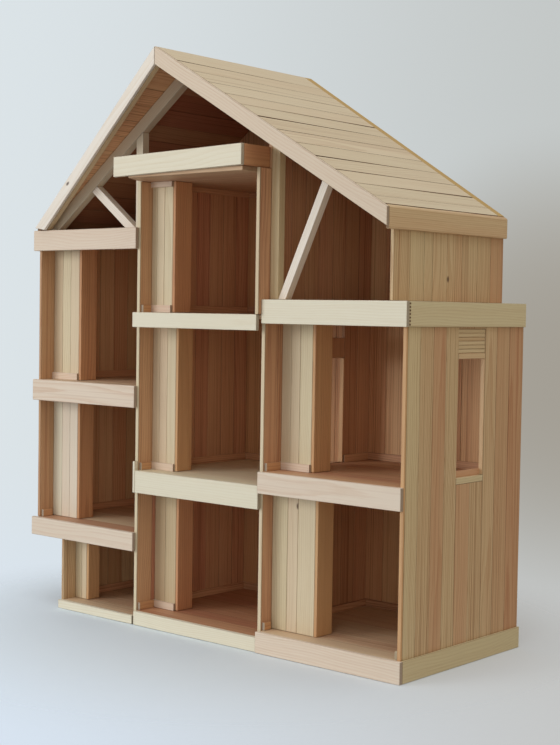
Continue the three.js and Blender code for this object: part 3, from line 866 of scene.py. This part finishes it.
# %% The roof's surfaces
LEFT_TIP, RIGHT_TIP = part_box("left_roof_boards")[0].x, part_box("right_eave_board")[1].x
PEAK, LEFT_EAVE_TOP = 798 * MM, 565.1 * MM
FRONT_PEAK = -163.51 * MM
FALL = {"left": (PEAK - LEFT_EAVE_TOP) / (RIDGE - LEFT_TIP), "right": RIGHT_FALL}
FRONT_END = {"left": (LEFT_TIP, -108.51 * MM), "right": (RIGHT_TIP, -110.51 * MM)}
OUT = {"left": -1, "right": 1}
RIDGE_SLIT = 0.15 * MM


def ridge_end(side):
    """Where a slope's boards stop, a hair from the middle of the ridge."""
    return RIDGE + OUT[side] * RIDGE_SLIT


def roof_top(side):
    """Ridge height less the slope times the distance from the ridge."""
    return lambda x: PEAK - FALL[side] * np.abs(x - RIDGE)


def gable_front(side, behind=0.0):
    """A straight line from the ridge's front point to the eave's, seen from above."""
    end_x, end_y = FRONT_END[side]
    return lambda x: FRONT_PEAK + (end_y - FRONT_PEAK) * (x - RIDGE) / (end_x - RIDGE) + behind


def below(side, drop):
    """A surface that lies `drop` under the roof's top, measured square to the slope."""
    upright = drop * np.hypot(1, FALL[side])
    return lambda x: roof_top(side)(x) - upright


print("the roof falls", {side: round(fall, 3) for side, fall in FALL.items()})

# %% [markdown]
# The roof is laid in two layers, so that its top can be greyer than its underside. A few joints have
# opened with age: those strips are narrower at one end, and their sides are darkened as painted
# shade in the gaps. Under the eaves the lining is lit from the front and takes a paler finish as
# painted light, and behind the truss it lies in the dark and takes a darker finish and tones as
# painted shade.

# %% Roof strips
ROOF, LINING = 7 * MM, 3.5 * MM
COVER, BOARD_BACK = 5 * MM, 14 * MM  # backs of a bargeboard's two layers, behind the gable's front
TRUSS_MIDDLE = -87.5 * MM
VERGE = 15 * MM
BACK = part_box("left_roof_boards")[1].y
STRIP_BACK = BACK - VERGE
right_slope = np.hypot(1, FALL["right"])
right_courses = np.array([0.3, 39, 68, 98, 129, 158, 189.4, 223.6, 257, 290.6, 324.2, 357, 386]) * MM
right_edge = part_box("right_eave_board")[0].x - 0.05 * MM
left_edge = LEFT_TIP + 3 * MM
SEAMS = {"right": [*(RIDGE + right_courses / right_slope), right_edge],
         "left": list(np.linspace(left_edge, RIDGE - RIDGE_SLIT, 13))}
# (joint, how far it gapes at the front, at the back) in millimetres
GAPES = {"right": ((1, 0.8, 0.0), (5, 0.0, 1.0), (6, 1.1, -0.05), (7, 0.3, 0.0), (9, 1.2, 0.0),
                   (10, 0.5, -0.05), (11, -0.05, 1.0)),
         "left": ((4, 0.4, 0.0), (8, 0.1, 0.4))}
for side, seams in SEAMS.items():
    cut = gable_front(side, COVER + GAP)
    faces = (below(side, LINING), roof_top(side))
    strips = lay((Y, X, Z), seams, cut, STRIP_BACK, faces, slit=0.2 * MM)
    for seam, at_front, at_back in GAPES[side]:
        for end, open_by in ((0, at_front), (1, at_back)):
            strips[seam - 1, end, 1, :, X] -= open_by * MM
            strips[seam, end, 0, :, X] += open_by * MM
    for layer, face in enumerate(faces):
        strips[:, :, :, layer, Z] = face(strips[:, :, :, layer, X])
    # dark_sides paints shade on the strips' narrow faces, for the dark of the open joints
    make_piece(f"{side}_roof_strips", strips, roof_strip, [f"{side}_roof_boards"], rings=14,
               radius=0.6 * MM, tones=[0.1, 0.25, 0.05, 0.2, 0.15], reds=[0.3, 0.5, 0.2], dark_sides=1.3)
    faces = (below(side, ROOF), below(side, LINING + 0.1 * MM))
    # under the eaves the lining takes the paler attic finish: painted light where the light reaches it
    lining = lay((Y, X, Z), seams, cut, TRUSS_MIDDLE, faces)
    make_piece(f"{side}_eaves_lining", lining, attic_strip, rings=8,
               tones=[0.2, 0.0, 0.3], reds=[1.1, 0.9, 0.8])
    # behind the truss the lining takes the darker room finish and dark tones: painted shade
    lining = lay((Y, X, Z), seams, TRUSS_MIDDLE + 0.1 * MM, STRIP_BACK, faces)
    make_piece(f"{side}_attic_lining", lining, room_strip, rings=12, tones=[1.1, 0.8, 1.0])

# %% Verge boards along the back
VERGE_DEPTH = 22 * MM
for side, inner, outer in (("left", left_edge, ridge_end("left")),
                           ("right", ridge_end("right"), right_edge)):
    verge = lay((X, Y, Z), [STRIP_BACK, BACK], inner, outer, (0, 0), slit=0)
    verge[..., Z] = roof_top(side)(verge[..., X])
    verge[:, :, :, 0, Z] -= VERGE_DEPTH
    make_piece(f"{side}_verge_board", verge, verge_board, tones=[1.1], reds=[0.0])

# %% [markdown]
# A bargeboard is a plank on edge that follows the slope and leans out with the gable, with a second
# layer behind it. Its corners are found from the slope and from the gable's front line, so it meets
# its twin in an upright mitre under the ridge. The left one is cut level at its foot and stands on
# the facing.

# %% Bargeboards
BARGE = 24 * MM


def sloping(side, inner, outer, upper, lower, front, back):
    """A board that runs down one slope between two surfaces and two upright planes."""
    ends = np.array([inner, outer])
    corners = np.zeros((1, 2, 2, 2, 3))
    corners[0, ..., X] = ends[:, None, None]
    for edge, surface in enumerate((lower, upper)):
        corners[0, :, edge, :, Z] = surface(ends)[:, None]
    for face, plane in enumerate((front, back)):
        corners[0, :, :, face, Y] = (plane(ends) if callable(plane) else np.full(2, plane))[:, None]
    return corners


def under_barge(side):
    """The bargeboard's lower edge, plumb below the roof's top."""
    return lambda x: roof_top(side)(x) - BARGE


def cut_level(board, side, level):
    """Cuts a sloping board's foot at one height, and keeps the lean of the gable."""
    foot = board[:, 1]
    across_cut = RIDGE - (PEAK - BARGE - level) / FALL[side]
    place = np.where(foot[..., Z] < level, across_cut, foot[..., X])
    foot[..., Y] += gable_front(side)(place) - gable_front(side)(foot[..., X])
    foot[..., X] = place
    foot[..., Z] = np.maximum(foot[..., Z], level)


for side, plank_end, backing_end, finish, tone in (
        ("left", left_edge, left_edge, gable_board, 0.0),
        ("right", RIGHT_TIP - 0.2 * MM, right_edge, pink_board, 0.5)):
    plank = sloping(side, ridge_end(side), plank_end, roof_top(side), under_barge(side),
                    gable_front(side), gable_front(side, COVER))
    backing = sloping(side, ridge_end(side), backing_end, below(side, ROOF + GAP), under_barge(side),
                      gable_front(side, COVER + 0.1 * MM), gable_front(side, BOARD_BACK))
    if side == "left":
        for board in (plank, backing):
            cut_level(board, side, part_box("left_attic_facing")[1].z + 0.2 * MM)
    make_piece(f"{side}_bargeboard_backing", backing, band_board, tones=[0.0],
               reds=[0.7], rings=14)
    make_piece(f"{side}_bargeboard_plank", plank, finish, [f"{side}_bargeboard"],
               tones=[tone], reds=[0.15], radius=1 * MM, rings=14,
               knots={0: (268 * MM, 13 * MM)} if side == "left" else None)

# %% [markdown]
# Inside the gable stands a truss of square lengths: rafters under the slopes, posts and braces. They
# are cut to the slope by the same functions. A brace leans, so how far it climbs follows from where
# its line meets the rafter: climb = height over the foot / (1 + fall * lean).

# %% Rafters and posts
under_truss = {side: below(side, ROOF + RAFTER + 2 * GAP) for side in OUT}
for side in ("left", "right"):
    lo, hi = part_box(f"{side}_rafter")
    tail = lo.x + 8 * MM if side == "left" else hi.x
    rafter = sloping(side, ridge_end(side), tail, below(side, ROOF + GAP), below(side, ROOF + RAFTER + GAP),
                     *TRUSS)
    make_piece(f"{side}_rafter_plank", rafter, pale_board, [f"{side}_rafter"], tones=[0.5],
               reds=[0.4], rings=12)
    lo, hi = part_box(f"{side}_post")
    post = lay((Z, X, Y), [lo.x, hi.x], lo.z, under_truss[side], TRUSS, slit=0)
    make_piece(f"{side}_post_plank", post, pale_board if side == "left" else band_board, [f"{side}_post"],
               tones=[0.4], reds=[0.3], rings=12)

# %% Braces
LEAN = {"left": -1.32, "right": 0.47}  # sideways travel of a brace for each unit it climbs
BRACE_WIDTH = {"left": 21 * MM, "right": 12.7 * MM}
for side in ("left", "right"):
    lo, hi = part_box(f"{side}_brace")
    near = hi.x if side == "left" else lo.x
    foot_line = np.array([near, near + OUT[side] * BRACE_WIDTH[side]])
    climb = (under_truss[side](foot_line) - lo.z) / (1 + FALL[side] * abs(LEAN[side]))
    brace = np.zeros((1, 2, 2, 2, 3))
    for end, rise in enumerate((np.zeros(2), climb)):
        brace[0, end, :, :, X] = (foot_line + LEAN[side] * rise)[:, None]
        brace[0, end, :, :, Z] = (lo.z + rise)[:, None]
    brace[..., Y] = TRUSS
    make_piece(f"{side}_brace_plank", brace, gable_board, [f"{side}_brace"], tones=[0.1],
               reds=[0.0], rings=12)

# %% [markdown]
# The right eave ends in a board on edge, and a rail for hanging the house lies across its back.

# %% Eave board and hanging rail
lo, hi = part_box("right_eave_board")
eave_front = gable_front("right", COVER + 0.2 * MM)(hi.x)
eave = lay((Y, X, Z), [lo.x, hi.x], eave_front, hi.y, (lo.z, roof_top("right")), slit=0)
make_piece("right_eave_board_plank", eave, outer_strip, ["right_eave_board"], tones=[0.2],
           reds=[0.5], radius=1.6 * MM, rings=12)
make_piece("hanging_rail_board", node_board("hanging_rail", X, Z), outer_strip, ["hanging_rail"],
           tones=[0.2], reds=[0.3], rings=12)

# %% [markdown]
# ## Trim inside the rooms
# Thin strips run along the foot and the head of the walls, and hide the joints there. They are
# measured from each room's own boards, so they sit against them whatever the room's size.

# %% Rooms
ROOMS = {
    "left_ground": ("left_lower_wall", "left_partition", "left_first_floor"),
    "left_first": ("left_upper_wall", "left_partition", "left_second_floor"),
    "left_second": ("left_upper_wall", "left_partition", "left_attic_floor"),
    "middle_ground": ("left_partition", "right_lower_partition", "middle_first_floor"),
    "middle_first": ("left_partition", "right_lower_partition", "middle_second_floor"),
    "middle_second": ("left_partition", "right_upper_partition", "middle_ceiling"),
    "right_ground": ("right_lower_partition", "right_lower_wall", "right_first_floor"),
    "right_first": ("right_lower_partition", "right_lower_wall", "right_attic_floor"),
}
THIN, SET_BACK, CLEAR_OF_FRONT = 3.2 * MM, 3 * MM, 10 * MM  # a strip, and where it may start
BASE_HEIGHT, HEAD_HEIGHT, BLOCK_LENGTH = 10.5 * MM, 8 * MM, 12 * MM
TOUCH = 0.1 * MM
BACK_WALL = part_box("middle_back_panel")[0].y
BASE_ON_FACE = {"left_second", "middle_ground", "middle_first", "middle_second", "right_first"}
HEAD_ON_FACE = {"left_second", "middle_first", "middle_second", "right_first"}
BASE_ON_STRIP = {"left_first", "middle_ground", "middle_first", "middle_second", "right_first",
                 "right_ground"}
BLOCK_AT_RIGHT = {"middle_second", "right_ground"}


def measure_room(room):
    """The clear sizes of a room: between its walls, and from its floor to the floor above."""
    wall, far_wall, above = ROOMS[room]
    nib_low, nib_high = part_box(f"{room}_return_wall")
    floor_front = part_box(f"{room}_floor")[0].y
    return SimpleNamespace(
        nib_low=nib_low, nib_high=nib_high,
        left=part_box(wall)[1].x, right=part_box(far_wall)[0].x,
        foot=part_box(f"{room}_floor")[1].z, head=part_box(above)[0].z,
        front=max(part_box(wall)[0].y, floor_front) + SET_BACK,
        block_start=max(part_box(far_wall)[0].y, floor_front) + GAP,
    )


rooms = {room: measure_room(room) for room in ROOMS}
print("rooms are", [round((place.head - place.foot) / MM) for place in rooms.values()], "mm high")

# %% Strips of one room
def band(place, x, y, level, along):
    """A strip at the foot or the head of a wall, between two places in x and two in y."""
    if level == "base":
        z = (place.foot, place.foot + BASE_HEIGHT)
    else:
        z = (place.head - HEAD_HEIGHT, place.head)
    return single((x[0], y[0], z[0]), (x[1], y[1], z[1]), along, Z)


def deep_bands(room, place, level):
    """Strips on the deep wall, the back wall and the right wall, broken at the doorway."""
    left_start = max(place.nib_high.y, DOOR["back"]) if room == "right_first" else place.nib_high.y
    right_start = place.front + CLEAR_OF_FRONT
    if level == "base" and room in BLOCK_AT_RIGHT:
        right_start = place.block_start + BLOCK_LENGTH
    stops = [right_start, BACK_WALL - THIN]
    if room == "middle_first":
        stops = [right_start, DOOR["front"], DOOR["back"], BACK_WALL - THIN]
    bands = [band(place, (place.left, place.left + THIN), (left_start + TOUCH, BACK_WALL - THIN), level, Y),
             band(place, (place.left, place.right), (BACK_WALL - THIN, BACK_WALL - TOUCH), level, X)]
    for start_and_stop in zip(stops[::2], stops[1::2]):
        bands.append(band(place, (place.right - THIN, place.right), start_and_stop, level, Y))
    return bands


def face_bands(room, place):
    """Strips on the face of the return wall, up to its corner board."""
    trimmed = {"base": BASE_ON_FACE, "head": HEAD_ON_FACE}
    face, face_end = place.nib_low.y, place.nib_high.x - NIB - 0.2 * MM
    return [band(place, (place.left, face_end), (face - THIN, face - TOUCH), level, X)
            for level in trimmed if room in trimmed[level]]


# %% Trim, room by room
for room, place in rooms.items():
    if room in BLOCK_AT_RIGHT:
        foot_block = band(place, (place.right - THIN - 1 * MM, place.right - TOUCH),
                          (place.block_start, place.block_start + BLOCK_LENGTH - TOUCH), "base", Y)
        make_piece(f"{room}_foot_block", foot_block, nib_strip, tones=[0.1], reds=[0.4])
    deep = deep_bands(room, place, "base") + deep_bands(room, place, "head")
    make_piece(f"{room}_deep_trim", np.concatenate(deep), room_strip, tones=[0.0],
               reds=[0.4], radius=0.5 * MM)
    near = face_bands(room, place)
    if near:
        make_piece(f"{room}_face_trim", np.concatenate(near), pink_board, tones=[0.4],
                   reds=[0.8], radius=0.5 * MM)
    if room in BASE_ON_STRIP:
        block = band(place, (place.left, place.left + THIN + 0.6 * MM),
                     (place.front, place.nib_low.y - THIN - TOUCH), "base", Y)
        # painted light and shade: the block's side has the browner turn finish, and a short cap at its
        # front end the pale finish where the light falls on it
        cap = block.copy()
        block[:, 0, ..., Y] += 1.5 * MM
        cap[:, 1, ..., Y] = place.front + 1.4 * MM
        make_piece(f"{room}_strip_block", block, turn_board, tones=[0.2], reds=[0.5])
        make_piece(f"{room}_strip_block_end", cap, pale_board, tones=[0.2], reds=[0.8],
                   radius=0.4 * MM)

# %% [markdown]
# The doorway's two cut sides are lined with thin upright jambs. One more upright strip stands at the
# left end of the middle storey's facing, where two levels meet.

# %% Door frame
JAMB, PROUD = 2.2 * MM, 0.8 * MM
lo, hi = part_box("right_lower_partition")
jambs = [single((lo.x - PROUD, start, DOOR["foot"]), (hi.x + PROUD, start + JAMB, DOOR["head"]), Z, Y)
         for start in (DOOR["back"] - JAMB, DOOR["front"])]
make_piece("doorway_jambs", np.concatenate(jambs), turn_board, tones=[0.0], reds=[0.3])

# %% Upright strip at the middle storey's facing
lo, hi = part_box("middle_first_facing")
strip = single((lo.x - 4.2 * MM, lo.y, lo.z), (lo.x - 0.2 * MM, hi.y, hi.z + 13 * MM), Z, X)
make_piece("middle_first_corner_strip", strip, pale_board, tones=[0.1], reds=[0.3])
print("pieces:", len(PIECES))

# %% [markdown]
# ## Light and floor
# One big soft window of light stands in front and to the left, as in a bright room, with a weak warm
# light at the right and a wide one above. The floor could be a large plane, but its far edge would
# show, so it is a pale disc that fades out round the house.

# %% The floor
FLOOR_RADIUS, RIM_POINTS = 3.5, 96
FADE = (0.22, 0.62)  # metres from the middle, where the floor begins to fade and where it has gone
TO_THE_RIGHT = (0.758, 0.652, 0)  # as seen from the camera
floor_mesh = bpy.data.meshes.new("floor")
turn = np.linspace(0, 2 * np.pi, RIM_POINTS + 1)[:-1]
rim = np.stack([FLOOR_RADIUS * np.cos(turn), FLOOR_RADIUS * np.sin(turn), np.full(RIM_POINTS, -GAP)],
               axis=-1)
floor_mesh.from_pydata(rim.tolist(), [], [list(range(RIM_POINTS))])
floor = bpy.data.objects.new("floor", floor_mesh)
bpy.context.scene.collection.objects.link(floor)
paper = bpy.data.materials.new("pale_floor")
paper.use_nodes = True
tree = paper.node_tree
spot = Flow(tree, None).node("ShaderNodeTexCoord", out=3)
away = spot.node("ShaderNodeVectorMath", {"operation": "LENGTH"}, {0: spot}, out=1)
clear = spot.node("ShaderNodeBsdfTransparent")
solid = Flow(tree, tree.nodes["Principled BSDF"].outputs[0])
# painted light and shade: the floor is bluish white towards the left, where the window light falls, and
# grey towards the right
paper_colour = spot.dot(TO_THE_RIGHT).step(-0.5, 0.9).colour_mix(srgb(232, 245, 255), srgb(212, 211, 208))
tree.links.new(paper_colour.socket, tree.nodes["Principled BSDF"].inputs["Base Color"])
tree.nodes["Principled BSDF"].inputs["Roughness"].default_value = 0.9
faded = spot.node("ShaderNodeMixShader", None, {0: away.step(*FADE), 1: solid, 2: clear})
tree.links.new(faded.socket, tree.nodes["Material Output"].inputs["Surface"])
floor_mesh.materials.append(paper)
print("the floor fades out between", *FADE, "m from the middle")

# %% The lamps
def lamp(name, place, size, power, colour):
    """A square of light that faces the house."""
    data = bpy.data.lights.new(name, "AREA")
    data.shape, data.size, data.size_y = "RECTANGLE", size, size
    data.energy, data.color = power, colour
    light = bpy.data.objects.new(name, data)
    aim = (HOUSE_MIDDLE - Vector(place)).to_track_quat("-Z", "Y")
    light.matrix_world = Matrix.Translation(place) @ aim.to_matrix().to_4x4()
    bpy.context.scene.collection.objects.link(light)
    print(f"{name}: {power} W over {size} m")


HOUSE_MIDDLE = Vector((0, 0, 0.4))
lamp("window_light", (-1.65, -2.8, 1.05), 1.7, 44, (1.0, 0.99, 0.965))
lamp("room_light", (2.1, -2.4, 0.75), 1.6, 6.5, (1.0, 0.95, 0.88))
lamp("ceiling_light", (0.7, -0.5, 3.0), 2.4, 34, (0.96, 0.98, 1.0))

# %% [markdown]
# The world does two jobs. What the camera sees of it is a wall with painted light and shade: bluish
# white at the left, where the light falls, grey at the right, and a painted soft shadow behind the
# house. What lights the house is a dimmer wash, cool from the left and warm from the right. The
# Light Path node tells the two apart.

# %% The room round the house
world = bpy.data.worlds.new("studio")
bpy.context.scene.world = world
world.use_nodes = True
tree = world.node_tree
start = Flow(tree, None)
direction = start.node("ShaderNodeTexCoord", out=0)
sideways = direction.dot(TO_THE_RIGHT)
# painted light and shade on the wall: bluish white at the left, where the light falls, greyer at the right
across_view = sideways.step(-0.24, 0.24)
high = across_view.colour_mix(srgb(220, 228, 232), srgb(195, 199, 198))
low = across_view.colour_mix(srgb(217, 229, 242), srgb(197, 198, 197))
wall = direction.dot((0, 0, -1)).step(0.08, 0.28).colour_mix(high, low)
# a soft shadow on the wall, behind the house and a little to the right
behind_house = direction.dot((-0.49, 0.87, -0.04))
shown = (behind_house.step(0.984, 1.001) * 0.9).colour_mix(wall, srgb(158, 151, 139))
lit = sideways.step(-0.9, 0.9).colour_mix((0.34, 0.36, 0.39, 1), (0.38, 0.325, 0.25, 1))
seen_by_camera = start.node("ShaderNodeLightPath")
sky = seen_by_camera.colour_mix(lit, shown)
tree.links.new(sky.socket, tree.nodes["Background"].inputs["Color"])
bpy.context.scene.view_settings.view_transform = "Standard"
print("lights:", len(bpy.data.lights))
